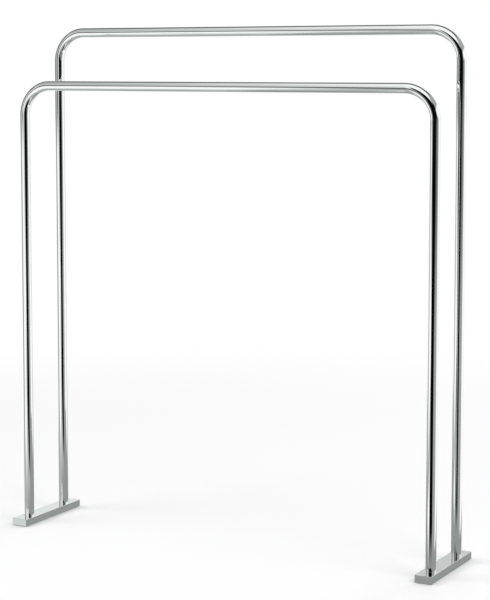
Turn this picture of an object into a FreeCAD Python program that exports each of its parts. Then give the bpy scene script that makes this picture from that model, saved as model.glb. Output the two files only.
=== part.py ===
"""Freestanding towel stand: two bent-tube rails of different height on two flat base bars.

Each rail is one round tube bent into an upside-down U. The front rail is the lower one and
the rear rail the taller one, so that two towels hang one behind the other. Each base bar ties
one front leg to the rear leg behind it. A leg stands in a shallow round seat in the top of its
base bar, and a cap screw that comes up from below pulls it down: the screw passes a serrated
lock washer and the bar's web, and threads into a slug that is pressed into the tube's end.
Two round pads under each base bar keep the metal off the floor.

Frame: millimetres, +X to the right, +Y to the rear, +Z up. The origin is on the floor, at the
centre of the rectangle that the two base bars cover. Nothing in the stand moves.
"""

import FreeCAD
import Part
import math
import os

# ---------------------------------------------------------------- the two rails
TUBE_DIAMETER = 18.0  # outside of both rails
TUBE_WALL = 1.5
BEND_RADIUS = 54.0  # to the tube's centreline, three tube diameters
LEG_SPACING = 812.0  # left leg to right leg, centre to centre
ROW_SPACING = 115.0  # front rail to rear rail, centre to centre
FRONT_TOP_HEIGHT = 828.5  # floor to the top of the front rail's bar
REAR_TOP_HEIGHT = 926.5  # floor to the top of the rear rail's bar
TUBE_END_CHAMFER = 0.4  # lead-in for the slug, on the bore's edge

# ---------------------------------------------------------------- the base bars
BASE_WIDTH = 30.5  # along X
BASE_THICKNESS = 13.0
BASE_OVERHANG = 33.5  # from a leg's centre to the bar's end, along Y
BASE_EDGE_BREAK = 0.5  # chamfer on every outer edge
SEAT_DEPTH = 2.0  # how far a leg stands into the bar
SEAT_CLEARANCE = 0.05  # radial, round the leg

# ---------------------------------------------------------------- screws, washers and slugs
THREAD_DIAMETER = 8.0
SCREW_LENGTH = 20.0  # under the head
SCREW_TIP_CHAMFER = 0.8
HEAD_DIAMETER = 13.0
HEAD_HEIGHT = 5.0
HEAD_CHAMFER = 0.5
HEX_ACROSS_FLATS = 5.0
HEX_DEPTH = 2.8
WASHER_DIAMETER = 15.0
WASHER_THICKNESS = 0.8
WASHER_CLEARANCE = 0.2  # radial, round the screw
WASHER_TEETH = 12
TOOTH_DEPTH = 1.3  # radial depth of the notches between the teeth
TOOTH_GAP = 1.2  # width of each notch
SHANK_CLEARANCE = 0.5  # radial, between the screw and the hole in the web
COUNTERBORE_CLEARANCE = 0.5  # radial, round the washer
HEAD_RECESS = 1.2  # how far the screw's head stays above the bar's underside
THREAD_CLEARANCE = 0.05  # radial, between screw and slug, which have no modelled thread
TIP_GAP = 2.8  # free length of tapped hole above the screw's tip
SLUG_CAP = 4.0  # solid end of the slug above the tapped hole
SLUG_CLEARANCE = 0.02  # radial, between slug and bore, drawn line to line on the real one
SLUG_CHAMFER = 0.6

# ---------------------------------------------------------------- floor pads
PAD_DIAMETER = 16.0
PAD_HEIGHT = 2.2
PAD_STAND = 1.2  # how far a pad stands out below its bar
PAD_CLEARANCE = 0.2  # radial, round the pad in its pocket
PAD_EDGE_ROUND = 0.5

# ---------------------------------------------------------------- places worked out from those
TUBE_RADIUS = TUBE_DIAMETER / 2
BORE_RADIUS = TUBE_RADIUS - TUBE_WALL
LEG_X = LEG_SPACING / 2
ROW_Y = ROW_SPACING / 2
BASE_LENGTH = ROW_SPACING + 2 * BASE_OVERHANG
BASE_BOTTOM = PAD_STAND
BASE_TOP = BASE_BOTTOM + BASE_THICKNESS
SEAT_FLOOR = BASE_TOP - SEAT_DEPTH
HEAD_BOTTOM = BASE_BOTTOM + HEAD_RECESS
HEAD_TOP = HEAD_BOTTOM + HEAD_HEIGHT
WEB_BOTTOM = HEAD_TOP + WASHER_THICKNESS
SCREW_TIP = HEAD_TOP + SCREW_LENGTH
TAPPED_TOP = SCREW_TIP + TIP_GAP
SLUG_TOP = TAPPED_TOP + SLUG_CAP
COUNTERBORE_RADIUS = WASHER_DIAMETER / 2 + COUNTERBORE_CLEARANCE
PAD_Y = (ROW_Y + COUNTERBORE_RADIUS + BASE_LENGTH / 2) / 2  # middle of the land that is left
PAD_TOP = PAD_HEIGHT

SIDES = {"left": -1, "right": 1}
ROWS = {"front": -1, "rear": 1}
UP = FreeCAD.Vector(0, 0, 1)


def at(x, y, z):
    """A point of the stand."""
    return FreeCAD.Vector(x, y, z)


def upright(radius, bottom, top, x=0.0, y=0.0):
    """A solid round bar standing between two heights."""
    return Part.makeCylinder(radius, top - bottom, at(x, y, bottom), UP)


def round_edges_at(solid, height, radius):
    """The circular edges of a solid that lie at one height and have one radius."""
    found = []
    for edge in solid.Edges:
        box = edge.BoundBox
        flat = box.ZLength < 1e-6 and abs(box.ZMin - height) < 1e-6
        if flat and isinstance(edge.Curve, Part.Circle) and abs(edge.Curve.Radius - radius) < 1e-6:
            found.append(edge)
    return found


def rail_rod(radius, row_y, bar_z):
    """A solid rod of one radius that follows a rail: leg, bend, bar, bend, leg."""
    shoulder_z = bar_z - BEND_RADIUS
    shoulder_x = LEG_X - BEND_RADIUS
    slant = BEND_RADIUS * math.sqrt(0.5)
    corners = [
        at(-LEG_X, row_y, SEAT_FLOOR),
        at(-LEG_X, row_y, shoulder_z),
        at(-shoulder_x, row_y, bar_z),
        at(shoulder_x, row_y, bar_z),
        at(LEG_X, row_y, shoulder_z),
        at(LEG_X, row_y, SEAT_FLOOR),
    ]
    left_middle = at(-shoulder_x - slant, row_y, shoulder_z + slant)
    right_middle = at(shoulder_x + slant, row_y, shoulder_z + slant)
    path = Part.Wire(
        [
            Part.LineSegment(corners[0], corners[1]).toShape(),
            Part.Arc(corners[1], left_middle, corners[2]).toShape(),
            Part.LineSegment(corners[2], corners[3]).toShape(),
            Part.Arc(corners[3], right_middle, corners[4]).toShape(),
            Part.LineSegment(corners[4], corners[5]).toShape(),
        ]
    )
    section = Part.Wire([Part.makeCircle(radius, corners[0], UP)])
    return path.makePipeShell([section], True, False)


def rail(row, top_height):
    """One bent tube, open at both ends, with a lead-in on each bore."""
    row_y = ROWS[row] * ROW_Y
    bar_z = top_height - TUBE_RADIUS
    tube = rail_rod(TUBE_RADIUS, row_y, bar_z).cut(rail_rod(BORE_RADIUS, row_y, bar_z))
    bore_ends = round_edges_at(tube, SEAT_FLOOR, BORE_RADIUS)
    return tube.makeChamfer(TUBE_END_CHAMFER, bore_ends)


def base_bar(side):
    """One flat bar with its leg seats, screw holes, counterbores and pad pockets."""
    x = SIDES[side] * LEG_X
    corner = at(x - BASE_WIDTH / 2, -BASE_LENGTH / 2, BASE_BOTTOM)
    bar = Part.makeBox(BASE_WIDTH, BASE_LENGTH, BASE_THICKNESS, corner)
    bar = bar.makeChamfer(BASE_EDGE_BREAK, bar.Edges)
    for sign in ROWS.values():
        y = sign * ROW_Y
        seat = upright(TUBE_RADIUS + SEAT_CLEARANCE, SEAT_FLOOR, BASE_TOP, x, y)
        hole = upright(THREAD_DIAMETER / 2 + SHANK_CLEARANCE, BASE_BOTTOM, BASE_TOP, x, y)
        counterbore = upright(COUNTERBORE_RADIUS, BASE_BOTTOM, WEB_BOTTOM, x, y)
        pocket = upright(PAD_DIAMETER / 2 + PAD_CLEARANCE, BASE_BOTTOM, PAD_TOP, x, sign * PAD_Y)
        for tool in (seat, hole, counterbore, pocket):
            bar = bar.cut(tool)
    return bar


def slug(x, y):
    """The threaded slug in the end of one leg: a blind tapped hole in a pressed-in plug."""
    radius = BORE_RADIUS - SLUG_CLEARANCE
    body = upright(radius, SEAT_FLOOR, SLUG_TOP, x, y)
    rims = round_edges_at(body, SEAT_FLOOR, radius) + round_edges_at(body, SLUG_TOP, radius)
    body = body.makeChamfer(SLUG_CHAMFER, rims)
    tapped = upright(THREAD_DIAMETER / 2 + THREAD_CLEARANCE, SEAT_FLOOR, TAPPED_TOP, x, y)
    return body.cut(tapped)


def hexagon(across_flats, bottom, height, x, y):
    """An upright hexagonal prism."""
    reach = across_flats / math.sqrt(3)
    turns = [math.radians(60 * step) for step in range(7)]
    outline = [at(x + reach * math.cos(t), y + reach * math.sin(t), bottom) for t in turns]
    return Part.Face(Part.makePolygon(outline)).extrude(at(0, 0, height))


def screw(x, y):
    """A low-head cap screw with a hexagon socket that opens downwards."""
    head_radius = HEAD_DIAMETER / 2
    head = upright(head_radius, HEAD_BOTTOM, HEAD_TOP, x, y)
    head = head.makeChamfer(HEAD_CHAMFER, round_edges_at(head, HEAD_BOTTOM, head_radius))
    shank_radius = THREAD_DIAMETER / 2
    shank = upright(shank_radius, HEAD_TOP, SCREW_TIP, x, y)
    tip = round_edges_at(shank, SCREW_TIP, shank_radius)
    shank = shank.makeChamfer(SCREW_TIP_CHAMFER, tip)
    socket = hexagon(HEX_ACROSS_FLATS, HEAD_BOTTOM, HEX_DEPTH, x, y)
    return head.fuse(shank).cut(socket)


def lock_washer(x, y):
    """A flat ring whose rim is notched into teeth all round."""
    rim = WASHER_DIAMETER / 2
    ring = upright(rim, HEAD_TOP, WEB_BOTTOM, x, y)
    ring = ring.cut(upright(THREAD_DIAMETER / 2 + WASHER_CLEARANCE, HEAD_TOP, WEB_BOTTOM, x, y))
    for step in range(WASHER_TEETH):
        corner = at(x + rim - TOOTH_DEPTH, y - TOOTH_GAP / 2, HEAD_TOP)
        notch = Part.makeBox(2 * TOOTH_DEPTH, TOOTH_GAP, WASHER_THICKNESS, corner)
        notch.rotate(at(x, y, HEAD_TOP), UP, 360 * step / WASHER_TEETH)
        ring = ring.cut(notch)
    return ring


def floor_pad(x, y):
    """One round pad, its top face against the pocket's ceiling and its lower rim rounded."""
    radius = PAD_DIAMETER / 2
    pad = upright(radius, 0, PAD_TOP, x, y)
    return pad.makeFillet(PAD_EDGE_ROUND, round_edges_at(pad, 0, radius))


def build():
    """Every piece of the stand, by the name of its node."""
    pieces = {
        "front_rail": rail("front", FRONT_TOP_HEIGHT),
        "rear_rail": rail("rear", REAR_TOP_HEIGHT),
    }
    for side, side_sign in SIDES.items():
        x = side_sign * LEG_X
        pieces[f"{side}_base_bar"] = base_bar(side)
        for row, row_sign in ROWS.items():
            y = row_sign * ROW_Y
            pieces[f"{row}_{side}_leg_slug"] = slug(x, y)
            pieces[f"{row}_{side}_leg_screw"] = screw(x, y)
            pieces[f"{row}_{side}_lock_washer"] = lock_washer(x, y)
            pieces[f"{row}_{side}_floor_pad"] = floor_pad(x, row_sign * PAD_Y)
    return pieces


def main():
    """Writes one STEP file for each piece."""
    os.makedirs("parts", exist_ok=True)
    for name, shape in build().items():
        shape.exportStep(os.path.join("parts", name + ".step"))
        print(f"{name}: {len(shape.Solids)} solid, {shape.Volume:.0f} mm3, valid {shape.isValid()}")


main()
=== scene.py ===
"""Looks of the freestanding towel stand: bright plated rails and base bars, their fixings and pads.

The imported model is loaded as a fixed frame, in metres. Every piece here is built round the place
and size that its own node has there, and stands for that node. The stand has no moving part, so
everything rides on the one body.
"""

import logging
import math
from abc import ABC, abstractmethod
from dataclasses import dataclass, field
from enum import Enum
from typing import Callable, ClassVar, Sequence

import bmesh
import bpy
from mathutils import Matrix, Vector


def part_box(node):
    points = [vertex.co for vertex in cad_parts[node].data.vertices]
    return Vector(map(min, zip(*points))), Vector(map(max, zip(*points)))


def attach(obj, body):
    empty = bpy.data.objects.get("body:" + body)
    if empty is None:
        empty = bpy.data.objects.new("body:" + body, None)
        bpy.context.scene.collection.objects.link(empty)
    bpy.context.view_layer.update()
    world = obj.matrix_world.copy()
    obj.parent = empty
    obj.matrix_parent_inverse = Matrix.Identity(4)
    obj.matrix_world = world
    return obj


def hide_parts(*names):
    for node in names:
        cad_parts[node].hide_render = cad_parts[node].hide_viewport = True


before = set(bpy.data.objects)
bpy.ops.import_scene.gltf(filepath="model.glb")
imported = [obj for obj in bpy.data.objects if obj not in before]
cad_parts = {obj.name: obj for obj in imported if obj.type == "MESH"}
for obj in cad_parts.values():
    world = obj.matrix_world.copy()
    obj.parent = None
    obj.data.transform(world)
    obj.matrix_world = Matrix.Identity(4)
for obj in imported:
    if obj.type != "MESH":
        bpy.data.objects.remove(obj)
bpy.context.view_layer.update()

log = logging.getLogger("towel_stand")

MM = 0.001
TURN = 2 * math.pi
BODY = "root"
WHITE = (1.0, 1.0, 1.0, 1.0)
INNER_RING = 0.5  # the extra ring in a turned flat face, as a share of the outer radius
Colour = tuple[float, float, float]
Place = tuple[float, float, float]
Profile = list[tuple[float, float]]
TrueNormal = Callable[[Vector, bpy.types.MeshPolygon], Vector | None]


class Side(Enum):
    """The two sides of the stand, seen from the front."""

    LEFT = "left"
    RIGHT = "right"


class Row(Enum):
    """The lower rail in front and the taller one behind it."""

    FRONT = "front"
    REAR = "rear"


# ------------------------------------------------------------------------------ shader graphs


class Value:
    """A shader socket that takes part in Python arithmetic."""

    def __init__(self, graph: "Graph", socket: bpy.types.NodeSocket) -> None:
        """Wraps one output socket of a graph."""
        self.graph = graph
        self.socket = socket

    def _math(self, operation: str, first: "Value | float", second: "Value | float") -> "Value":
        """Adds one Math node and returns its result."""
        settings = {"operation": operation}
        return self.graph.node("ShaderNodeMath", settings, {0: first, 1: second})

    def __add__(self, other: "Value | float") -> "Value":
        """Sum."""
        return self._math("ADD", self, other)

    __radd__ = __add__

    def __sub__(self, other: "Value | float") -> "Value":
        """Difference."""
        return self._math("SUBTRACT", self, other)

    def __rsub__(self, other: "Value | float") -> "Value":
        """Reflected difference, as in 1 - mask."""
        return self._math("SUBTRACT", other, self)

    def __mul__(self, other: "Value | float") -> "Value":
        """Product."""
        return self._math("MULTIPLY", self, other)

    __rmul__ = __mul__

    def __pow__(self, other: "Value | float") -> "Value":
        """Power."""
        return self._math("POWER", self, other)

    def __abs__(self) -> "Value":
        """Size without sign."""
        return self._math("ABSOLUTE", self, 0.0)

    def sine(self) -> "Value":
        """Sine of an angle in radians."""
        return self._math("SINE", self, 0.0)

    def step(self, low: float, high: float) -> "Value":
        """A soft step.

        Args:
            low: The value at and below which the result is 0.
            high: The value at and above which the result is 1.

        Returns:
            A value from 0 to 1, smooth at both ends.
        """
        settings = {"interpolation_type": "SMOOTHSTEP"}
        names = {"Value": self, "From Min": low, "From Max": high}
        return self.graph.node("ShaderNodeMapRange", settings, names)


class Graph:
    """A node tree that is emptied and built again by expressions."""

    def __init__(self, tree: bpy.types.NodeTree) -> None:
        """Empties the tree."""
        self.tree = tree
        tree.nodes.clear()

    def add(self, kind: str, settings: dict, values: dict) -> bpy.types.Node:
        """Adds one node. Every node of every tree is made here.

        Args:
            kind: The node's type.
            settings: Properties that are set before its sockets.
            values: Socket name or number to a constant or a Value.

        Returns:
            The new node.
        """
        node = self.tree.nodes.new(kind)
        for name, setting in settings.items():
            setattr(node, name, setting)
        for name, value in values.items():
            if isinstance(value, Value):
                self.tree.links.new(value.socket, node.inputs[name])
            else:
                node.inputs[name].default_value = value
        return node

    def node(self, kind: str, settings: dict, values: dict, output: int | str = 0) -> Value:
        """Adds one node and wraps one of its outputs."""
        return Value(self, self.add(kind, settings, values).outputs[output])

    def place(self) -> Value:
        """Object coordinates, in metres."""
        return self.node("ShaderNodeTexCoord", {}, {}, "Object")

    def attribute(self, name: str) -> Value:
        """A vector that the piece carries at each of its points."""
        settings = {"attribute_type": "GEOMETRY", "attribute_name": name}
        return self.node("ShaderNodeAttribute", settings, {}, "Vector")

    def stretched(self, place: Value, scale: Place) -> Value:
        """Coordinates with each axis scaled by itself."""
        return self.node("ShaderNodeMapping", {"vector_type": "POINT"}, {"Vector": place, "Scale": scale})

    def parts(self, vector: Value) -> list[Value]:
        """The three numbers of a vector."""
        node = self.add("ShaderNodeSeparateXYZ", {}, {0: vector})
        return [Value(self, socket) for socket in node.outputs]

    def noise(self, place: Value, scale: float, detail: float = 2.0, rough: float = 0.5) -> Value:
        """Smooth noise from 0 to 1."""
        values = {"Vector": place, "Scale": scale, "Detail": detail, "Roughness": rough}
        return self.node("ShaderNodeTexNoise", {}, values)

    def blend(self, amount: Value | float, first: Colour | Value, second: Colour | Value) -> Value:
        """A colour between two colours.

        Args:
            amount: 0 for the first colour and 1 for the second.
            first: A plain colour, or a Value that carries one.
            second: The same.

        Returns:
            The mixed colour.
        """
        ends = [c if isinstance(c, Value) else (*c, 1.0) for c in (first, second)]
        values = {0: amount, 6: ends[0], 7: ends[1]}
        return self.node("ShaderNodeMix", {"data_type": "RGBA"}, values, 2)

    def bump(self, height: Value, depth: float, under: Value | None = None) -> Value:
        """A surface normal that follows a height.

        Args:
            height: The height, from 0 to 1.
            depth: What a height of 1 stands for, in metres.
            under: The normal that the bump lies on, where it isn't the surface's own.

        Returns:
            The normal.
        """
        values = {"Height": height, "Distance": depth, "Strength": 1.0}
        if under is not None:
            values["Normal"] = under
        return self.node("ShaderNodeBump", {}, values)

    def principled(self, values: dict) -> Value:
        """A Principled surface."""
        return self.node("ShaderNodeBsdfPrincipled", {}, values)

    def glow(self, colour: tuple[float, ...]) -> Value:
        """A surface that shows one colour as it is, whatever lights it."""
        return self.node("ShaderNodeEmission", {}, {"Color": colour, "Strength": 1.0})

    def clear(self) -> Value:
        """A surface that every ray passes through."""
        return self.node("ShaderNodeBsdfTransparent", {}, {})

    def mixed(self, share: Value, first: Value, second: Value) -> Value:
        """The first surface where the share is 0, and the second where it is 1."""
        return self.node("ShaderNodeMixShader", {}, {0: share, 1: first, 2: second})

    def behind(self) -> Value:
        """1 where a ray meets a face from behind, and 0 elsewhere."""
        return self.node("ShaderNodeNewGeometry", {}, {}, "Backfacing")


def new_material(name: str, surface: Callable[[Graph], Value]) -> bpy.types.Material:
    """Makes a material.

    Args:
        name: The material's name.
        surface: Draws the surface in the node tree that it is given.

    Returns:
        The material.
    """
    material = bpy.data.materials.new(name)
    material.use_nodes = True
    graph = Graph(material.node_tree)
    graph.add("ShaderNodeOutputMaterial", {}, {"Surface": surface(graph)})
    return material


def new_object(name: str, data: bpy.types.ID) -> bpy.types.Object:
    """Makes an object and puts it in the scene.

    Args:
        name: The object's name.
        data: Its mesh, lamp or camera.

    Returns:
        The object.
    """
    made = bpy.data.objects.new(name, data)
    bpy.context.scene.collection.objects.link(made)
    return made


def new_mesh_object(name: str, work: bmesh.types.BMesh, material: bpy.types.Material) -> bpy.types.Object:
    """Makes an object of a finished bmesh.

    Args:
        name: The name of the object and its mesh.
        work: The bmesh, which is freed.
        material: The mesh's one material.

    Returns:
        The object.
    """
    mesh = bpy.data.meshes.new(name)
    work.to_mesh(mesh)
    work.free()
    mesh.materials.append(material)
    return new_object(name, mesh)


# ------------------------------------------------------------------------------------ finishes


@dataclass(frozen=True)
class Finish(ABC):
    """What a piece's surface is made of."""

    name: str

    @abstractmethod
    def surface(self, graph: Graph) -> Value:
        """Draws the surface in a node tree."""

    def material(self) -> bpy.types.Material:
        """Builds the material."""
        return new_material(self.name, self.surface)


@dataclass(frozen=True)
class BrightPlate(Finish):
    """Mirror-bright plating over polished steel.

    It carries what polishing and handling leave: hairlines along the grain, a faint haze in
    patches, and a very shallow ripple of the metal under the plating.
    """

    colour: Colour = (0.950, 0.962, 0.960)
    shade: Colour = (0.918, 0.934, 0.938)
    shade_scale: float = 14.0
    gloss: float = 0.012
    haze: float = 0.02
    haze_scale: float = 46.0
    wiping_scale: Place = (3.0, 90.0, 90.0)
    hairline: float = 0.03
    hairline_scale: Place = (9.0, 1900.0, 1900.0)
    hairline_depth: float = 0.0002 * MM
    ripple_scale: float = 55.0
    ripple_depth: float = 0.004 * MM

    def surface(self, graph: Graph) -> Value:
        """Draws the plating.

        Args:
            graph: The node tree to draw in.

        Returns:
            The surface.
        """
        place, grain = graph.place(), graph.attribute("grain")
        cloud = graph.noise(place, self.shade_scale, 4.0, 0.55)
        patch = graph.noise(place, self.haze_scale, 5.0, 0.62).step(0.50, 0.72)
        lines = graph.noise(graph.stretched(grain, self.hairline_scale), 1.0, 3.0, 0.6)
        hairs = lines.step(0.60, 0.74)
        wiped = graph.noise(graph.stretched(grain, self.wiping_scale), 1.0, 2.0).step(0.45, 0.7)
        ripple = graph.noise(place, self.ripple_scale, 1.0, 0.4)
        rippled = graph.bump(ripple, self.ripple_depth)
        return graph.principled(
            {
                "Base Color": graph.blend(cloud.step(0.3, 0.75), self.colour, self.shade),
                "Metallic": 1.0,
                "Roughness": self.gloss + self.haze * patch * wiped + self.hairline * hairs * wiped,
                "Normal": graph.bump(1.0 - hairs, self.hairline_depth, rippled),
            }
        )


@dataclass(frozen=True)
class TurnedSteel(Finish):
    """Bare steel off the lathe, with tool marks that follow the turned profile."""

    colour: Colour = (0.60, 0.595, 0.58)
    stain: Colour = (0.43, 0.40, 0.36)
    feed: float = 0.16 * MM
    mark_depth: float = 0.006 * MM
    wander_scale: float = 420.0
    oil_scale: float = 160.0
    grit_scale: float = 2600.0
    gloss: float = 0.24

    def surface(self, graph: Graph) -> Value:
        """Draws the turned steel.

        Args:
            graph: The node tree to draw in.

        Returns:
            The surface.
        """
        place = graph.place()
        radius, height, _ = graph.parts(graph.attribute("turned"))
        wander = graph.noise(place, self.wander_scale, 2.0) * 0.6
        marks = ((radius + height) * (TURN / self.feed) + wander).sine() * 0.5 + 0.5
        oil = graph.noise(place, self.oil_scale, 4.0, 0.6).step(0.48, 0.72)
        grit = graph.noise(place, self.grit_scale, 2.0)
        return graph.principled(
            {
                "Base Color": graph.blend(oil * 0.55, self.colour, self.stain),
                "Metallic": 1.0,
                "Roughness": self.gloss + 0.12 * grit + 0.08 * marks - 0.07 * oil,
                "Normal": graph.bump(marks, self.mark_depth),
            }
        )


@dataclass(frozen=True)
class ZincPlate(Finish):
    """Zinc-plated steel: a pale grey with cool and straw-coloured patches and a soft crystal grain."""

    colour: Colour = (0.66, 0.675, 0.70)
    cool: Colour = (0.56, 0.62, 0.71)
    straw: Colour = (0.70, 0.66, 0.55)
    tide_scale: float = 210.0
    crystal_scale: float = 4200.0
    rub_scale: Place = (900.0, 900.0, 5200.0)
    gloss: float = 0.27
    grain_depth: float = 0.004 * MM

    def surface(self, graph: Graph) -> Value:
        """Draws the zinc.

        Args:
            graph: The node tree to draw in.

        Returns:
            The surface.
        """
        place = graph.place()
        tide = graph.noise(place, self.tide_scale, 4.0, 0.6)
        cool = graph.blend(tide.step(0.5, 0.72) * 0.7, self.colour, self.cool)
        tinted = graph.blend((1.0 - tide).step(0.52, 0.7) * 0.5, cool, self.straw)
        crystals = graph.node("ShaderNodeTexVoronoi", {}, {"Vector": place, "Scale": self.crystal_scale})
        rub = graph.noise(graph.stretched(place, self.rub_scale), 1.0, 3.0).step(0.55, 0.7)
        return graph.principled(
            {
                "Base Color": tinted,
                "Metallic": 1.0,
                "Roughness": self.gloss + 0.22 * crystals + 0.08 * tide - 0.07 * rub,
                "Normal": graph.bump(crystals + 0.3 * rub, self.grain_depth),
            }
        )


@dataclass(frozen=True)
class PadRubber(Finish):
    """Moulded black rubber with a fine spark-eroded grain and a little dust."""

    colour: Colour = (0.030, 0.030, 0.032)
    dust: Colour = (0.16, 0.155, 0.145)
    lint_scale: float = 240.0
    scuff_scale: Place = (240.0, 2100.0, 240.0)
    gloss: float = 0.62
    grain_scale: float = 3100.0
    grain_depth: float = 0.02 * MM

    def surface(self, graph: Graph) -> Value:
        """Draws the rubber.

        Args:
            graph: The node tree to draw in.

        Returns:
            The surface.
        """
        place = graph.place()
        grain = graph.noise(place, self.grain_scale, 3.0, 0.65)
        lint = graph.noise(place, self.lint_scale, 5.0, 0.7).step(0.52, 0.8)
        scuffs = graph.noise(graph.stretched(place, self.scuff_scale), 1.0, 4.0).step(0.58, 0.72)
        worn = lint * 0.5 + scuffs * 0.25
        return graph.principled(
            {
                "Base Color": graph.blend(worn, self.colour, self.dust),
                "Roughness": self.gloss + 0.2 * worn + 0.1 * grain,
                "Specular IOR Level": 0.4,
                "Normal": graph.bump(grain, self.grain_depth),
            }
        )


@dataclass
class Finishes:
    """The finish of every kind of piece."""

    rail: bpy.types.Material = field(default_factory=BrightPlate("rail_bright_plate").material)
    bar: bpy.types.Material = field(
        default_factory=BrightPlate(
            "bar_bright_plate", ripple_depth=0.008 * MM, ripple_scale=40.0, haze=0.04
        ).material
    )
    slug: bpy.types.Material = field(default_factory=TurnedSteel("turned_steel").material)
    screw: bpy.types.Material = field(default_factory=ZincPlate("screw_zinc").material)
    washer: bpy.types.Material = field(
        default_factory=ZincPlate(
            "washer_zinc", colour=(0.58, 0.585, 0.60), gloss=0.33, grain_depth=0.007 * MM
        ).material
    )
    pad: bpy.types.Material = field(default_factory=PadRubber("pad_rubber").material)


# ------------------------------------------------------------------------------- mesh workshop


@dataclass
class NodeBox:
    """Where a node of the frame lies."""

    low: Vector
    high: Vector

    @classmethod
    def of(cls, node: str) -> "NodeBox":
        """The box of one node."""
        low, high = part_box(node)
        return cls(low, high)

    @property
    def middle(self) -> Vector:
        """The box's centre."""
        return (self.low + self.high) / 2

    @property
    def size(self) -> Vector:
        """The box's three lengths."""
        return self.high - self.low

    @property
    def radius(self) -> float:
        """Half of the box's width, for a piece that is round from above."""
        return self.size.x / 2


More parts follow.
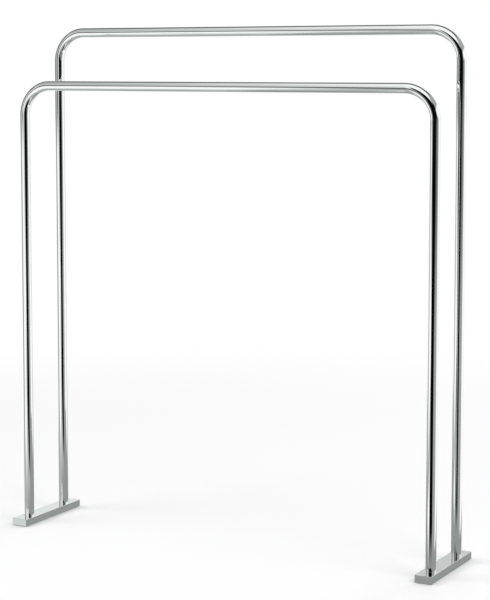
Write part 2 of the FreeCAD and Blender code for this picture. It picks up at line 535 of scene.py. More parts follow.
class Workpiece:
    """A mesh in the making, with the few operators that this stand's pieces need."""

    same_height: ClassVar[float] = 0.001 * MM
    same_point: ClassVar[float] = 0.0005 * MM
    on_cut: ClassVar[float] = 0.0001 * MM
    crease: ClassVar[float] = math.radians(38.0)

    def __init__(self) -> None:
        """Starts with nothing."""
        self.mesh = bmesh.new()

    def _outline(self, profile: Profile, x: float, y: float) -> list:
        """Draws a profile beside an upright axis and returns its points and edges."""
        corners = [self.mesh.verts.new((x + radius, y, height)) for radius, height in profile]
        return corners + [self.mesh.edges.new(pair) for pair in zip(corners, corners[1:])]

    def turn(self, profile: Profile, x: float, y: float, steps: int) -> None:
        """Spins a profile all the way round an upright axis.

        Args:
            profile: Radius and height of each corner.
            x: Place of the axis.
            y: Place of the axis.
            steps: Number of faces round the axis.
        """
        outline = self._outline(profile, x, y)
        bmesh.ops.spin(
            self.mesh, geom=outline, cent=(x, y, 0), axis=(0, 0, 1), angle=TURN, steps=steps, use_merge=True
        )

    def helix(self, profile: Profile, x: float, y: float, pitch: float, turns: int, steps: int) -> None:
        """Winds a profile one pitch high up a right-handed thread.

        Args:
            profile: Radius and height of each corner, whose ends are one pitch apart.
            x: Place of the axis.
            y: Place of the axis.
            pitch: Rise in one turn.
            turns: Number of turns.
            steps: Number of faces in one turn.
        """
        bmesh.ops.spin(
            self.mesh,
            geom=self._outline(profile, x, y),
            cent=(x, y, 0),
            axis=(0, 0, 1),
            angle=TURN * turns,
            steps=steps * turns,
            dvec=(0, 0, pitch / steps),
        )
        self.weld()

    def ring(self, x: float, y: float, z: float, radius: float, steps: int) -> list:
        """Adds a level ring.

        Args:
            x: Place of its centre.
            y: Place of its centre.
            z: Its height.
            radius: Its radius to the corners.
            steps: Number of its corners.

        Returns:
            Its edges.
        """
        spot = Matrix.Translation((x, y, z))
        made = bmesh.ops.create_circle(self.mesh, segments=steps, radius=radius, matrix=spot)
        return list(dict.fromkeys(edge for vert in made["verts"] for edge in vert.link_edges))

    def bridge(self, first: list, second: list) -> None:
        """Joins two rings of edges with faces."""
        bmesh.ops.bridge_loops(self.mesh, edges=first + second)

    def rims_at(self, z: float) -> list:
        """Finds the open edges at one height.

        Args:
            z: The height.

        Returns:
            The edges whose two ends lie there and that a face is missing from.
        """
        return [
            edge
            for edge in self.mesh.edges
            if edge.is_boundary or edge.is_wire
            if all(abs(vert.co.z - z) < self.same_height for vert in edge.verts)
        ]

    def plate_over(self, z: float, up: bool) -> None:
        """Fills the flat face between all the open rims at one height.

        Args:
            z: The height.
            up: Whether the face looks up rather than down.
        """
        normal = (0, 0, 1 if up else -1)
        bmesh.ops.triangle_fill(
            self.mesh, use_beauty=True, use_dissolve=False, edges=self.rims_at(z), normal=normal
        )

    def cut_flat(self, z: float, keep_above: bool) -> None:
        """Cuts everything off on one side of a height and leaves the cut open.

        Args:
            z: The height.
            keep_above: Whether what lies above stays, rather than what lies below.
        """
        bmesh.ops.bisect_plane(
            self.mesh,
            geom=self.mesh.verts[:] + self.mesh.edges[:] + self.mesh.faces[:],
            dist=self.on_cut,
            plane_co=(0, 0, z),
            plane_no=(0, 0, 1),
            clear_outer=not keep_above,
            clear_inner=keep_above,
        )

    def weld(self) -> None:
        """Merges points that coincide."""
        bmesh.ops.remove_doubles(self.mesh, verts=self.mesh.verts, dist=self.same_point)

    def face_out(self) -> None:
        """Merges doubles and turns every face outwards."""
        self.weld()
        bmesh.ops.recalc_face_normals(self.mesh, faces=self.mesh.faces)

    def note(self, name: str, rule: Callable[[Vector], Place]) -> None:
        """Gives every point a vector that its finish reads.

        Args:
            name: The attribute's name.
            rule: Gives the vector at a point.
        """
        layer = self.mesh.verts.layers.float_vector.new(name)
        for vert in self.mesh.verts:
            vert[layer] = rule(vert.co)

    @staticmethod
    def set_normals(mesh: bpy.types.Mesh, true_normal: TrueNormal) -> None:
        """Gives each corner its exact normal, so that a flat face mirrors as a flat one does.

        Args:
            mesh: The finished mesh.
            true_normal: Gives the exact normal at a point of a face, or None to leave the mesh's own.
        """
        normals = [corner.vector.copy() for corner in mesh.corner_normals]
        for face in mesh.polygons:
            for corner in face.loop_indices:
                exact = true_normal(mesh.vertices[mesh.loops[corner].vertex_index].co, face)
                if exact is not None:
                    normals[corner] = exact
        mesh.normals_split_custom_set(normals)

    def done(
        self,
        name: str,
        node: str,
        finish: bpy.types.Material,
        true_normal: TrueNormal | None = None,
    ) -> bpy.types.Object:
        """Makes the object, dresses it and lets it stand for its node.

        Args:
            name: The piece's name.
            node: The node that it stands for.
            finish: The material.
            true_normal: Gives exact normals, where the mesh's own won't do.

        Returns:
            The finished object.
        """
        self.face_out()
        piece = new_mesh_object(name, self.mesh, finish)
        mesh = piece.data
        mesh.set_sharp_from_angle(angle=self.crease)
        if true_normal is not None:
            self.set_normals(mesh, true_normal)
        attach(piece, BODY)
        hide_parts(node)
        log.info("%s: %d faces", name, len(mesh.polygons))
        return piece


# --------------------------------------------------------------------------------- the pieces


@dataclass
class TowelRail:
    """One tube bent into an upside-down U."""

    row: Row
    bend_radius: float = 54 * MM
    wall: float = 1.5 * MM
    around: int = 80
    bend_steps: int = 44

    def __post_init__(self) -> None:
        """Reads the rail's place from its node."""
        self.node = f"{self.row.value}_rail"
        self.box = NodeBox.of(self.node)
        self.radius = self.box.size.y / 2
        self.leg_x = self.box.size.x / 2 - self.radius
        self.y = self.box.middle.y
        self.foot = self.box.low.z
        self.bar_z = self.box.high.z - self.radius
        self.shoulder_x = self.leg_x - self.bend_radius
        self.shoulder_z = self.bar_z - self.bend_radius

    def _run(self, work: Workpiece, rim: list, move: Place) -> list:
        """Draws a ring of edges out in a straight line.

        Args:
            work: The rail in the making.
            rim: The ring of edges.
            move: Which way and how far.

        Returns:
            The new ring of edges.
        """
        made = bmesh.ops.extrude_edge_only(work.mesh, edges=rim)["geom"]
        verts = [item for item in made if isinstance(item, bmesh.types.BMVert)]
        bmesh.ops.translate(work.mesh, verts=verts, vec=move)
        return [item for item in made if isinstance(item, bmesh.types.BMEdge)]

    def _bend(self, work: Workpiece, rim: list, side: Side) -> list:
        """Carries a ring of edges round one bend.

        Args:
            work: The rail in the making.
            rim: The ring of edges.
            side: Which of the two bends.

        Returns:
            The last ring of edges.
        """
        x = -self.shoulder_x if side is Side.LEFT else self.shoulder_x
        made = bmesh.ops.spin(
            work.mesh,
            geom=rim,
            cent=(x, self.y, self.shoulder_z),
            axis=(0, 1, 0),
            angle=math.pi / 2,
            steps=self.bend_steps,
        )["geom_last"]
        return [item for item in made if isinstance(item, bmesh.types.BMEdge)]

    def grain(self, point: Vector) -> Place:
        """Says how the polishing lines run.

        Args:
            point: A point of the tube.

        Returns:
            The distance along the tube from its middle, and the place across it.
        """
        side = 1 if point.x > 0 else -1
        out_x = abs(point.x) - self.shoulder_x
        out_z = point.z - self.shoulder_z
        bend = self.bend_radius * math.pi / 2
        if out_z <= 0:
            along = self.shoulder_x + bend - out_z
            across = out_x - self.bend_radius
        elif out_x <= 0:
            along = abs(point.x)
            across = out_z - self.bend_radius
        else:
            along = self.shoulder_x + self.bend_radius * math.atan2(out_x, out_z)
            across = math.hypot(out_x, out_z) - self.bend_radius
        return side * along, across, point.y - self.y

    def build(self, finishes: Finishes) -> bpy.types.Object:
        """Sweeps the tube from the left foot to the right one and gives it its wall.

        Args:
            finishes: The materials.

        Returns:
            The finished rail.
        """
        work = Workpiece()
        rim = work.ring(-self.leg_x, self.y, self.foot, self.radius, self.around)
        leg = self.shoulder_z - self.foot
        rim = self._run(work, rim, (0, 0, leg))
        rim = self._bend(work, rim, Side.LEFT)
        rim = self._run(work, rim, (2 * self.shoulder_x, 0, 0))
        rim = self._bend(work, rim, Side.RIGHT)
        self._run(work, rim, (0, 0, -leg))
        work.face_out()
        bmesh.ops.solidify(work.mesh, geom=work.mesh.faces[:], thickness=self.wall)
        work.note("grain", self.grain)
        return work.done(f"{self.node}_tube", self.node, finishes.rail)


@dataclass
class BaseBar:
    """One flat bar with its leg seats, screw holes, counterbores and pad pockets."""

    side: Side
    edge: float = 0.45 * MM
    edge_steps: int = 4
    rim: float = 0.12 * MM
    seat_clearance: float = 0.05 * MM
    seat_depth: float = 2.0 * MM
    screw_clearance: float = 0.5 * MM
    counterbore_clearance: float = 0.5 * MM
    pocket_clearance: float = 0.2 * MM
    around: int = 72
    level: float = 0.9  # upright part of the normal, from which a face counts as level

    def __post_init__(self) -> None:
        """Reads the bar's place from its node."""
        self.node = f"{self.side.value}_base_bar"
        self.box = NodeBox.of(self.node)

    def _leg_hole(self, work: Workpiece, row: Row) -> None:
        """Turns the wall of one leg's seat, screw hole and counterbore.

        Args:
            work: The bar in the making.
            row: The rail that the leg belongs to.
        """
        stem = f"{row.value}_{self.side.value}"
        rail = NodeBox.of(f"{row.value}_rail")
        washer = NodeBox.of(f"{stem}_lock_washer")
        screw = NodeBox.of(f"{stem}_leg_screw")
        seat = rail.size.y / 2 + self.seat_clearance
        seat_floor = self.box.high.z - self.seat_depth
        web = washer.high.z
        hole = FastenerSizes.thread_radius + self.screw_clearance
        bore = washer.radius + self.counterbore_clearance
        top, bottom = self.box.high.z, self.box.low.z
        profile = [
            (seat + self.rim, top),
            (seat, top - self.rim),
            (seat, seat_floor),
            (hole, seat_floor),
            (hole, web),
            (bore, web),
            (bore, bottom + 2 * self.rim),
            (bore + 2 * self.rim, bottom),
        ]
        work.turn(profile, screw.middle.x, screw.middle.y, self.around)

    def _pad_pocket(self, work: Workpiece, row: Row) -> None:
        """Turns the wall and ceiling of one pad's pocket.

        Args:
            work: The bar in the making.
            row: The row that the pad belongs to.
        """
        pad = NodeBox.of(f"{row.value}_{self.side.value}_floor_pad")
        wall = pad.radius + self.pocket_clearance
        bottom, ceiling = self.box.low.z, pad.high.z
        rim = [(wall + self.rim, bottom), (wall, bottom + self.rim)]
        inside = [(wall, ceiling), (wall * INNER_RING, ceiling), (0.0, ceiling)]
        work.turn(rim + inside, pad.middle.x, pad.middle.y, self.around)

    def build(self, finishes: Finishes) -> bpy.types.Object:
        """Makes the bar: a block with rounded edges, opened above and below round its holes.

        Args:
            finishes: The materials.

        Returns:
            The finished bar.
        """
        work = Workpiece()
        shape = Matrix.Translation(self.box.middle) @ Matrix.Diagonal((*self.box.size, 1.0))
        bmesh.ops.create_cube(work.mesh, size=1.0, matrix=shape)
        bmesh.ops.bevel(
            work.mesh,
            geom=work.mesh.edges[:],
            offset=self.edge,
            segments=self.edge_steps,
            profile=0.5,
            affect="EDGES",
            material=-1,
        )
        top_and_bottom = sorted(work.mesh.faces, key=lambda face: -face.calc_area())[:2]
        bmesh.ops.delete(work.mesh, geom=top_and_bottom, context="FACES_ONLY")
        for row in Row:
            self._leg_hole(work, row)
            self._pad_pocket(work, row)
        work.weld()
        work.plate_over(self.box.high.z, up=True)
        work.plate_over(self.box.low.z, up=False)
        work.note("grain", lambda point: (point.y, point.x, point.z))
        return work.done(f"{self.node}_body", self.node, finishes.bar, self.outer_normal)

    def outer_normal(self, point: Vector, face: bpy.types.MeshPolygon) -> Vector | None:
        """Works out the exact normal of the bar's flat faces and rounded edges.

        Args:
            point: A corner of the face.
            face: The face.

        Returns:
            The normal there, or None on the walls of the holes.
        """
        core = zip(point, self.box.low, self.box.high)
        nearest = Vector([min(max(place, low + self.edge), high - self.edge) for place, low, high in core])
        outward = point - nearest
        centre = face.center - self.box.middle
        deep = self.box.size / 2 - Vector((1, 1, 0)) * 2 * self.edge
        in_hole = abs(centre.x) < deep.x and abs(centre.y) < deep.y and abs(face.normal.z) < self.level
        if in_hole or outward.length < self.edge / 2:
            return None
        return outward.normalized()


class FastenerSizes:
    """Sizes that the screw, the slug and the holes round them share."""

    thread_radius = 4.0 * MM
    thread_pitch = 1.25 * MM
    thread_depth = 0.68 * MM
    thread_clearance = 0.05 * MM
    thread_steps = 40

    @classmethod
    def thread(cls, work: Workpiece, x: float, y: float, start: float, end: float, grow: float) -> None:
        """Winds the thread between two heights and leaves both of its ends open.

        Args:
            work: The piece that gets the thread.
            x: Place of the axis.
            y: Place of the axis.
            start: The lower end, where the thread's phase is set.
            end: The upper end.
            grow: How far the whole thread stands out from the screw's own.
        """
        crest = cls.thread_radius + grow
        root = crest - cls.thread_depth
        pitch = cls.thread_pitch
        shape = ((root, 0), (root, 0.12), (crest, 0.44), (crest, 0.56), (root, 0.88), (root, 1))
        turns = math.ceil((end - start) / pitch) + 2
        profile = [(radius, start + (share - 1) * pitch) for radius, share in shape]
        work.helix(profile, x, y, pitch, turns, cls.thread_steps)
        work.cut_flat(start, keep_above=True)
        work.cut_flat(end, keep_above=False)


@dataclass
class LegFixing:
    """What holds one leg down: slug, screw and lock washer."""

    row: Row
    side: Side
    around: int = 96
    slug_chamfer: float = 0.6 * MM
    tip_chamfer: float = 0.8 * MM
    tip_gap: float = 2.8 * MM
    drill_cone: float = 1.6 * MM
    drill_share: float = 0.9  # of the thread's core
    head_height: float = 5.0 * MM
    head_edge: float = 0.5 * MM
    knurl_teeth: int = 48
    knurl_depth: float = 0.14 * MM
    hex_flats: float = 5.0 * MM
    hex_depth: float = 2.8 * MM
    hex_lead: float = 0.25 * MM
    washer_teeth: int = 12
    washer_sheet: float = 0.5 * MM
    washer_bore: float = 4.2 * MM
    washer_grid: int = 6
    tooth_root: float = 6.2 * MM
    tooth_share: float = 0.6  # of a sector's width
    tooth_neck: float = 0.34  # of a tooth's reach, over which it narrows
    tooth_twist: float = 17.0

    def __post_init__(self) -> None:
        """Reads the places of the three pieces from their nodes."""
        stem = f"{self.row.value}_{self.side.value}"
        self.slug_node = f"{stem}_leg_slug"
        self.screw_node = f"{stem}_leg_screw"
        self.washer_node = f"{stem}_lock_washer"
        self.slug = NodeBox.of(self.slug_node)
        self.screw = NodeBox.of(self.screw_node)
        self.washer = NodeBox.of(self.washer_node)
        self.x = self.screw.middle.x
        self.y = self.screw.middle.y

    def _turned(self, point: Vector) -> Place:
        """Distance from the axis and height, which the tool marks follow."""
        return math.hypot(point.x - self.x, point.y - self.y), point.z, 0.0

    def build_slug(self, finishes: Finishes) -> bpy.types.Object:
        """Makes a turned plug with a blind tapped hole that opens downwards.

        Args:
            finishes: The materials.

        Returns:
            The finished slug.
        """
        work = Workpiece()
        low, high = self.slug.low.z, self.slug.high.z
        tapped = self.screw.high.z + self.tip_gap - self.drill_cone
        phase = self.screw.low.z + self.head_height
        sizes = FastenerSizes
        sizes.thread(work, self.x, self.y, phase, tapped, sizes.thread_clearance)
        work.cut_flat(low, keep_above=True)
        drill = (sizes.thread_radius - sizes.thread_depth) * self.drill_share
        cone = [(drill * (1 - rise), tapped + self.drill_cone * rise) for rise in (0.0, 0.5, 1.0)]
        work.turn(cone, self.x, self.y, self.around)
        radius, edge = self.slug.radius, self.slug_chamfer
        side = [(radius - edge, low), (radius, low + edge), (radius, high - edge)]
        top = [(radius - edge, high), (radius * INNER_RING, high), (0.0, high)]
        work.turn(side + top, self.x, self.y, self.around)
        work.weld()
        work.plate_over(low, up=False)
        work.plate_over(tapped, up=True)
        work.note("turned", self._turned)
        return work.done(f"{self.slug_node}_turned", self.slug_node, finishes.slug)

    def _knurled_rim(self, work: Workpiece) -> None:
        """Builds the head's rim from its lower face up, with a knurled band round its middle.

        Args:
            work: The screw in the making.
        """
        radius, edge = self.screw.radius, self.head_edge
        low, high = self.screw.low.z, self.screw.low.z + self.head_height
        levels = [
            (low, radius - edge, False),
            (low + edge * 0.35, radius - edge * 0.4, False),
            (low + edge, radius - self.knurl_depth, False),
            (low + edge * 1.6, radius, True),
            (high - edge * 1.4, radius, True),
            (high - edge * 0.9, radius - self.knurl_depth, False),
            (high - edge * 0.3, radius - edge * 0.45, False),
            (high, radius - edge, False),
        ]
        below = None
        for z, size, is_knurled in levels:
            ring = work.ring(self.x, self.y, z, size, 2 * self.knurl_teeth)
            if is_knurled:
                self._sink_every_other(ring)
            if below is not None:
                work.bridge(below, ring)
            below = ring

    def _sink_every_other(self, ring: list) -> None:
        """Moves every other corner of a ring inwards, to the bottom of the knurl.

        Args:
            ring: The ring's edges.
        """
        corners = sorted({vert for edge in ring for vert in edge.verts}, key=self._angle)
        for vert in corners[::2]:
            inward = Vector((self.x - vert.co.x, self.y - vert.co.y, 0)).normalized()
            vert.co += inward * self.knurl_depth

    def _angle(self, vert: bmesh.types.BMVert) -> float:
        """The direction of a point round the axis."""
        return round(math.atan2(vert.co.y - self.y, vert.co.x - self.x), 6)

    def _socket(self, work: Workpiece) -> None:
        """Sinks the hexagon socket: a lead-in, six flats and a drilled bottom.

        Args:
            work: The screw in the making.
        """
        low = self.screw.low.z
        corner = self.hex_flats / math.sqrt(3)
        lead = work.ring(self.x, self.y, low, corner + self.hex_lead, 6)
        mouth = work.ring(self.x, self.y, low + self.hex_lead, corner, 6)
        floor = work.ring(self.x, self.y, low + self.hex_depth - self.hex_lead, corner, 6)
        work.bridge(lead, mouth)
        work.bridge(mouth, floor)
        made = bmesh.ops.extrude_edge_only(work.mesh, edges=floor)["geom"]
        tip = [item for item in made if isinstance(item, bmesh.types.BMVert)]
        point = Vector((self.x, self.y, low + self.hex_depth))
        bmesh.ops.pointmerge(work.mesh, verts=tip, merge_co=point)

    def build_screw(self, finishes: Finishes) -> bpy.types.Object:
        """Makes a low-head cap screw: knurled head, hexagon socket, wound thread and pointed end.

        Args:
            finishes: The materials.

        Returns:
            The finished screw.
        """
        work = Workpiece()
        sizes = FastenerSizes
        under_head = self.screw.low.z + self.head_height
        tip = self.screw.high.z
        sizes.thread(work, self.x, self.y, under_head, tip, 0.0)
        for vert in work.mesh.verts:
            over = vert.co.z - (tip - self.tip_chamfer)
            limit = sizes.thread_radius - max(over, 0.0)
            away = Vector((vert.co.x - self.x, vert.co.y - self.y, 0))
            if away.length > limit:
                vert.co -= away.normalized() * (away.length - limit)
        work.plate_over(tip, up=True)
        self._knurled_rim(work)
        self._socket(work)
        work.plate_over(under_head, up=True)
        work.plate_over(self.screw.low.z, up=False)
        return work.done(f"{self.screw_node}_threaded", self.screw_node, finishes.screw)

    def _tooth_point(self, reach: float, turn: float) -> Vector:
        """Lays a point of one sector's flat pattern round the washer's own axis.

        Args:
            reach: -1 at the bore, 0 at the roots of the teeth and 1 at their tips.
            turn: -0.5 to 0.5 from side to side of the sector.

        Returns:
            The point, lifted or lowered where the tooth is twisted.
        """
        sector, root = TURN / self.washer_teeth, self.tooth_root
        if reach <= 0:
            radius, spread, twist = root + (root - self.washer_bore) * reach, sector, 0.0
        else:
            narrowing = (self.tooth_share - 1) * min(reach / self.tooth_neck, 1.0)
            radius, spread = root + (self.washer.radius - root) * reach, sector * (1 + narrowing)
            twist = math.tan(math.radians(self.tooth_twist))
        x, y = radius * math.cos(turn * spread), radius * math.sin(turn * spread)
        room = (self.washer.size.z - self.washer_sheet) / 2
        return Vector((x, y, max(-room, min(room, twist * y))))

    def build_washer(self, finishes: Finishes) -> bpy.types.Object:
        """Makes a spring washer: one flat sector and its twisted tooth, repeated round the ring.

        Args:
            finishes: The materials.

        Returns:
            The finished washer.
        """
        work = Workpiece()
        mesh = work.mesh
        cells = self.washer_grid
        pattern = bmesh.ops.create_grid(mesh, x_segments=cells, y_segments=cells, size=0.5)["verts"]
        for vert in pattern:
            vert.co = self._tooth_point(round(2 * vert.co.x, 6), vert.co.y)
        bmesh.ops.spin(
            mesh,
            geom=mesh.verts[:] + mesh.edges[:] + mesh.faces[:],
            cent=(0, 0, 0),
            axis=(0, 0, 1),
            angle=TURN,
            steps=self.washer_teeth,
            use_duplicate=True,
        )
        work.face_out()
        bmesh.ops.solidify(mesh, geom=mesh.faces[:], thickness=self.washer_sheet)
        heights = [vert.co.z for vert in mesh.verts]
        rise = self.washer.middle.z - (min(heights) + max(heights)) / 2
        bmesh.ops.translate(mesh, verts=mesh.verts, vec=Vector((self.x, self.y, rise)))
        return work.done(f"{self.washer_node}_serrated", self.washer_node, finishes.washer)

    def build(self, finishes: Finishes) -> list[bpy.types.Object]:
        """All three pieces."""
        return [self.build_slug(finishes), self.build_screw(finishes), self.build_washer(finishes)]


@dataclass
class FloorPad:
    """One round pad with a grooved sole."""

    row: Row
    side: Side
    around: int = 96
    rim: float = 0.5 * MM
    rim_steps: int = 5
    top_edge: float = 0.15 * MM
    groove_radii: Sequence[float] = (3.0 * MM, 5.4 * MM)
    groove_half: float = 0.45 * MM
    groove_floor_half: float = 0.225 * MM
    groove_depth: float = 0.35 * MM

    def __post_init__(self) -> None:
        """Reads the pad's place from its node."""
        self.node = f"{self.row.value}_{self.side.value}_floor_pad"
        self.box = NodeBox.of(self.node)

    def build(self, finishes: Finishes) -> bpy.types.Object:
        """Turns the pad: sole with its grooves, rounded rim, side and top.

        Args:
            finishes: The materials.

        Returns:
            The finished pad.
        """
        radius, low, high = self.box.radius, self.box.low.z, self.box.high.z
        profile: Profile = [(0.0, low)]
        for groove in self.groove_radii:
            profile += [
                (groove - self.groove_half, low),
                (groove - self.groove_floor_half, low + self.groove_depth),
                (groove + self.groove_floor_half, low + self.groove_depth),
                (groove + self.groove_half, low),
            ]
        for step in range(self.rim_steps + 1):
            turn = math.pi / 2 * step / self.rim_steps
            out = radius - self.rim * (1 - math.sin(turn))
            profile.append((out, low + self.rim * (1 - math.cos(turn))))
        profile += [(radius, high - self.top_edge), (radius - self.top_edge, high), (0.0, high)]
        work = Workpiece()
        work.turn(profile, self.box.middle.x, self.box.middle.y, self.around)
        return work.done(f"{self.node}_moulded", self.node, finishes.pad)


# --------------------------------------------------------------------------------- the studio


@dataclass(frozen=True)
class Card(ABC):
    """A card that only shows in polished metal, as a photographer's flag does.

    It has one flat tone, which fades out at its edges over a share of its half width and of its
    half height or length.
    """

    tint: ClassVar[Colour] = (0.955, 1.0, 0.98)

    name: str
    tone: float
    x: float
    y: float
    fade: tuple[float, float]

    @abstractmethod
    def place(self) -> Matrix:
        """Where the card lies, as a transform of a square two metres wide."""

    def seen(self, graph: Graph) -> Value | float:
        """1 where a ray meets a side of the card that shows, and 0 where it passes through."""
        return 1.0

    def surface(self, graph: Graph) -> Value:
        """Draws the flat tone, clear at the card's edges.

        Args:
            graph: The node tree to draw in.

        Returns:
            The surface.
        """
        x, y, _ = graph.parts(graph.place())
        across, upward = self.fade
        shown = (1.0 - abs(x)).step(0.0, across) * (1.0 - abs(y)).step(0.0, upward) * self.seen(graph)
        colour = (*(self.tone * share for share in self.tint), 1.0)
        return graph.mixed(shown, graph.clear(), graph.glow(colour))

    def build(self) -> bpy.types.Object:
        """Makes the card and hides it from everything but mirrors.

        Returns:
            The card.
        """
        work = bmesh.new()
        bmesh.ops.create_grid(work, x_segments=1, y_segments=1, size=1.0)
        card = new_mesh_object(self.name, work, new_material(self.name, self.surface))
        card.matrix_world = self.place()
        card.visible_camera = False
        card.visible_diffuse = False
        card.visible_transmission = False
        card.visible_shadow = False
        return card


@dataclass(frozen=True)
class Flag(Card):
    """A card that stands on edge and faces the middle of the stand."""

    width: float
    bottom: float = -0.9
    top: float = 1.7

    def place(self) -> Matrix:
        """Works out where the card stands.

        Returns:
            A transform of a square two metres wide.
        """
        facing = Matrix.Rotation(math.atan2(self.y, self.x) + math.pi / 2, 4, "Z")
        upright = facing @ Matrix.Rotation(math.pi / 2, 4, "X")
        scale = Matrix.Diagonal((self.width / 2, (self.top - self.bottom) / 2, 1.0, 1.0))
        return Matrix.Translation((self.x, self.y, (self.top + self.bottom) / 2)) @ upright @ scale


@dataclass(frozen=True)
class Board(Card):
    """A card that lies level."""

    size: tuple[float, float]
    height: float

    def place(self) -> Matrix:
        """Where the card lies, as a transform of a square two metres wide."""
        scale = Matrix.Diagonal((self.size[0] / 2, self.size[1] / 2, 1.0, 1.0))
        return Matrix.Translation((self.x, self.y, self.height)) @ scale


@dataclass(frozen=True)
class LowBoard(Board):
    """A knee-high card that shows from below alone, so that only the base bars mirror it."""

    height: float = 0.4

    def seen(self, graph: Graph) -> Value | float:
        """The underside shows, and the top lets rays through."""
        return graph.behind()


@dataclass
class Studio:
    """Pale floor, white surroundings, soft lamps, reflection cards and the camera."""

    floor_radius: float = 14.0
    floor_steps: int = 96
    floor_colour: Colour = (0.96, 0.96, 0.96)
    floor_fleck: Colour = (0.9, 0.9, 0.9)
    fleck_scale: float = 260.0
    floor_fade: tuple[float, float] = (0.9, 2.4)
    fill: float = 0.62
    lamp_target: Place = (0.0, 0.0, 0.35)
    camera_place: Place = (1.5388, -2.8390, 0.8557)
    camera_turn: float = 28.10
    camera_tilt: float = 5.45
    lens: float = 109.47
    sensor_width: float = 36.0
    shift: float = -0.10
    camera_reach: float = 60.0

    def cards(self) -> list[Card]:
        """All the reflection cards."""
        return self.front_cards() + self.rear_cards() + self.level_cards() + self.low_cards()

    def front_cards(self) -> list[Card]:
        """Lists the flags in front and at the sides, which draw the dark lines down the legs and bars.

        Returns:
            The cards, with their places in metres.
        """
        return [
            Flag("flag_camera_gap", 0.002, x=0.5, y=-1.05, width=1.35, top=1.55, fade=(0.1, 0.05)),
            Flag("flag_right", 0.36, x=2.05, y=-0.65, width=2.15, top=1.2, fade=(0.1, 0.35)),
            Flag("flag_bar_level", 0.002, x=0.3, y=-0.55, width=2.55, bottom=0.3, top=1.0, fade=(0.95, 0.95)),
            Flag("flag_bend_right", 0.006, x=0.85, y=-0.5, width=0.8, bottom=0.7, top=1.3, fade=(0.65, 0.5)),
            Flag("flag_left", 0.26, x=-1.4, y=-0.3, width=1.25, bottom=-0.45, top=1.35, fade=(0.85, 0.25)),
            Flag("flag_front_left", 0.15, x=-1.45, y=-2.25, width=2.05, bottom=0.55, fade=(0.45, 0.35)),
        ]

    def rear_cards(self) -> list[Card]:
        """Lists the flags behind, which darken the edges of the legs and the tops of the bends.

        Returns:
            The cards, with their places in metres.
        """
        return [
            Flag("flag_rear", 0.62, x=-0.2, y=2.2, width=1.5, fade=(0.15, 0.08)),
            Flag("flag_rear_low", 0.02, x=0.2, y=2.3, width=0.5, bottom=-0.5, top=0.45, fade=(0.3, 0.1)),
            Flag("flag_left_high", 0.2, x=-2.1, y=-0.2, width=2.05, bottom=0.6, top=1.9, fade=(0.2, 0.2)),
            Flag("flag_right_high", 0.39, x=1.25, y=0.45, width=3.85, bottom=1.3, top=2.6, fade=(0.05, 0.05)),
        ]

    def level_cards(self) -> list[Card]:
        """Lists overhead cards, which grade the bars' tops, and grey boards just over the floor, a painted
        reflection of the floor in shade round the stand, which grade what faces down.

        Returns:
            The cards, with their places in metres.
        """
        return [
            Board("flag_overhead", 0.45, x=-1.95, y=-0.7, size=(3.95, 6.45), height=2.2, fade=(0.85, 0.65)),
            Board("strip_overhead", 0.05, x=-1.2, y=0.6, size=(7.15, 2.0), height=2.19, fade=(0.05, 0.85)),
            # Painted shade in reflection: these four grey boards lie just over the floor and stand for the
            # floor in shade round the stand, as the bars' sides and fronts mirror it.
            Board("painted_floor_shade_left", 0.45, x=-0.7, y=0.5, size=(1.25, 2.6), height=0.0001, fade=(0.65, 0.45)),
            Board("painted_floor_shade_front", 0.46, x=-0.25, y=-1.05, size=(0.55, 5.0), height=0.0002, fade=(0.6, 0.55)),
            Board("painted_floor_shade", 0.31, x=0.1, y=0.1, size=(1.1, 1.0), height=0.0004, fade=(0.15, 0.6)),
            Board("painted_floor_shade_end", 0.68, x=-0.43, y=-0.135, size=(0.12, 0.09), height=0.0006, fade=(0.1, 0.2)),
        ]

    def low_cards(self) -> list[Card]:
        """Lists the cards that make the dark spots at the feet and keep the base bars pale from behind.

        Returns:
            The cards, with their places in metres.
        """
        return [
            LowBoard("low_front", 0.6, x=-0.05, y=-0.6, size=(0.95, 0.6), height=0.3, fade=(0.1, 0.2)),
            LowBoard("low_right", 0.04, x=0.8, y=-1.4, size=(1.85, 0.85), fade=(0.05, 0.1)),
            LowBoard("low_left", 0.3, x=-1.55, y=0.1, size=(1.7, 1.3), fade=(0.05, 0.1)),
            LowBoard("low_rear_left", 0.8, x=-1.6, y=1.6, size=(1.65, 1.25), fade=(0.15, 0.15)),
            LowBoard("low_side", 0.7, x=1.8, y=0.75, size=(1.25, 1.3), fade=(0.15, 0.15)),
        ]

    def floor_surface(self, graph: Graph) -> Value:
        """Draws pale matt paper that turns white far out and lets rays through from below.

        Args:
            graph: The node tree to draw in.

        Returns:
            The surface.
        """
        x, y, _ = graph.parts(graph.place())
        away = (x**2.0 + y**2.0) ** 0.5
        paper = graph.noise(graph.place(), self.fleck_scale, 3.0)
        pale = graph.blend(paper * 0.04, self.floor_colour, self.floor_fleck)
        matt = graph.principled({"Base Color": pale, "Roughness": 0.9, "Specular IOR Level": 0.1})
        shown = graph.mixed(away.step(*self.floor_fade), matt, graph.glow(WHITE))
        return graph.mixed(graph.behind(), shown, graph.clear())

    def floor(self) -> bpy.types.Object:
        """Lays a round pale floor that turns into the white surroundings far out.

        Returns:
            The floor.
        """
        work = bmesh.new()
        bmesh.ops.create_circle(work, cap_ends=True, segments=self.floor_steps, radius=self.floor_radius)
        floor = new_mesh_object("studio_floor", work, new_material("studio_floor", self.floor_surface))
        floor.visible_glossy = False
        return floor

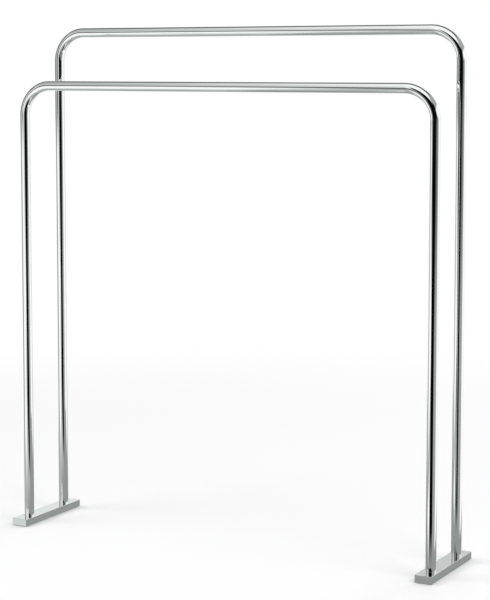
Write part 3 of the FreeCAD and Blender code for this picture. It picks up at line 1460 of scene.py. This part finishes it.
    def surroundings(self) -> None:
        """White where it is seen or mirrored, a softer fill where it lights."""
        world = bpy.data.worlds.new("studio")
        bpy.context.scene.world = world
        world.use_nodes = True
        graph = Graph(world.node_tree)
        path = graph.add("ShaderNodeLightPath", {}, {})
        rays = ("Is Camera Ray", "Is Glossy Ray", "Is Transmission Ray")
        camera, glossy, through = (Value(graph, path.outputs[name]) for name in rays)
        seen = (camera + glossy + through).step(0.0, 1.0)
        values = {"Color": WHITE, "Strength": self.fill + (1.0 - self.fill) * seen}
        surface = graph.node("ShaderNodeBackground", {}, values)
        graph.add("ShaderNodeOutputWorld", {}, {"Surface": surface})

    def lamp(self, name: str, place: Place, size: tuple[float, float], power: float) -> None:
        """Hangs one soft rectangular lamp that looks at the stand.

        Args:
            name: The lamp's name.
            place: Where it hangs.
            size: Its two sides.
            power: Its power, in watts.
        """
        data = bpy.data.lights.new(name, "AREA")
        data.shape = "RECTANGLE"
        data.size, data.size_y = size
        data.energy = power
        lamp = new_object(name, data)
        lamp.location = place
        aim = Vector(self.lamp_target) - Vector(place)
        lamp.rotation_euler = aim.to_track_quat("-Z", "Y").to_euler()
        lamp.visible_glossy = False
        lamp.visible_camera = False

    def camera(self) -> None:
        """Sets up the camera at the photograph's viewing angle."""
        data = bpy.data.cameras.new("camera")
        data.lens = self.lens
        data.sensor_width = self.sensor_width
        data.shift_y = self.shift
        data.clip_end = self.camera_reach
        camera = new_object("camera", data)
        camera.location = self.camera_place
        tilt, turn = math.radians(90.0 - self.camera_tilt), math.radians(self.camera_turn)
        camera.rotation_euler = (tilt, 0.0, turn)
        bpy.context.scene.camera = camera

    def build(self) -> None:
        """Sets up everything round the stand."""
        bpy.context.scene.view_settings.view_transform = "Standard"
        self.floor()
        self.surroundings()
        self.lamp("softbox_left", place=(-2.2, -1.6, 2.4), size=(1.8, 1.4), power=34.0)
        self.lamp("softbox_right", place=(2.4, -0.8, 2.2), size=(1.6, 1.4), power=26.0)
        self.lamp("softbox_rear", place=(0.2, 2.4, 2.6), size=(2.2, 1.2), power=22.0)
        for card in self.cards():
            card.build()
        self.camera()


def main() -> None:
    """Builds the stand, then the studio round it."""
    logging.basicConfig(level=logging.INFO, format="%(name)s: %(message)s")
    finishes = Finishes()
    for row in Row:
        TowelRail(row).build(finishes)
    for side in Side:
        BaseBar(side).build(finishes)
        for row in Row:
            LegFixing(row, side).build(finishes)
            FloorPad(row, side).build(finishes)
    Studio().build()


if __name__ == "__main__":
    main()
